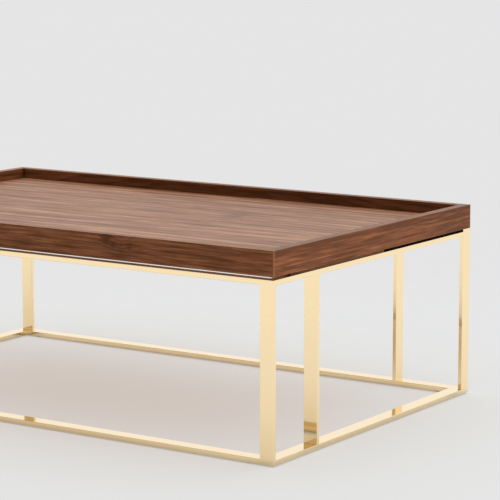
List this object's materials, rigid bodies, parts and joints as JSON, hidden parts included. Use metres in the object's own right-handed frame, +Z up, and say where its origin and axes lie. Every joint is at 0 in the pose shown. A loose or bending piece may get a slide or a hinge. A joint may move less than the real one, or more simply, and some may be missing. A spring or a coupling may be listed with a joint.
{
  "type": "tray-top coffee table",
  "caption": "Low rectangular coffee table: a raised-rim walnut tray top held just above a polished brass flat-bar frame with paired legs; the tray lifts off.",
  "frame": {"origin": "on the floor under the middle of the table, the bottom centre of its box", "axes": "+X along the long side to the right, +Y to the back, +Z up"},
  "size_m": [1.2, 0.75, 0.4],
  "materials": {
    "polished_brass": "mirror-polished pale gold brass plating",
    "walnut_rim": "satin-lacquered solid walnut, grain along each rim",
    "walnut_veneer": "satin-lacquered walnut veneer, grain along the table",
    "dark_backing": "matt dark brown backing veneer",
    "board": "raw fibreboard core",
    "beech": "raw pale beech",
    "steel": "plain zinc-plated steel",
    "rubber": "matt black rubber",
    "nylon": "dark nylon glide"
  },
  "bodies": {
    "frame": {"base_bar_front": "polished_brass", "base_bar_right": "polished_brass", "base_bar_back": "polished_brass", "base_bar_left": "polished_brass", "top_rail_front": "polished_brass", "top_rail_right": "polished_brass", "top_rail_back": "polished_brass", "top_rail_left": "polished_brass", "corner_leg_front_right": "polished_brass", "corner_leg_back_right": "polished_brass", "corner_leg_back_left": "polished_brass", "corner_leg_front_left": "polished_brass", "inner_leg_front": "polished_brass", "inner_leg_right": "polished_brass", "inner_leg_back": "polished_brass", "inner_leg_left": "polished_brass", "pin_plate_front_right": "polished_brass", "pin_plate_back_left": "polished_brass", "bumper_front_right": "rubber", "bumper_back_left": "rubber", "bumper_front_middle": "rubber", "bumper_back_middle": "rubber", "locating_pin_front_right": "steel", "locating_pin_back_left": "steel", "rest_strip_right": "rubber", "rest_strip_left": "rubber", "glide_front_left": "nylon", "glide_front_right": "nylon", "glide_back_left": "nylon", "glide_back_right": "nylon", "glide_left_front": "nylon", "glide_left_back": "nylon", "glide_right_front": "nylon", "glide_right_back": "nylon"},
    "tray": {"rim_front": "walnut_rim", "rim_right": "walnut_rim", "rim_back": "walnut_rim", "rim_left": "walnut_rim", "mitre_spline_front_right": "beech", "mitre_spline_back_right": "beech", "mitre_spline_back_left": "beech", "mitre_spline_front_left": "beech", "panel_core": "board", "panel_face_veneer": "walnut_veneer", "panel_back_veneer": "dark_backing", "pin_bush_front_right": "steel", "pin_bush_back_left": "steel"}
  },
  "joints": [
    {"name": "tray_lift", "type": "slide", "parent": "frame", "child": "tray", "axis": [0, 0, 1], "range_m": [0, 0.1]}
  ]
}
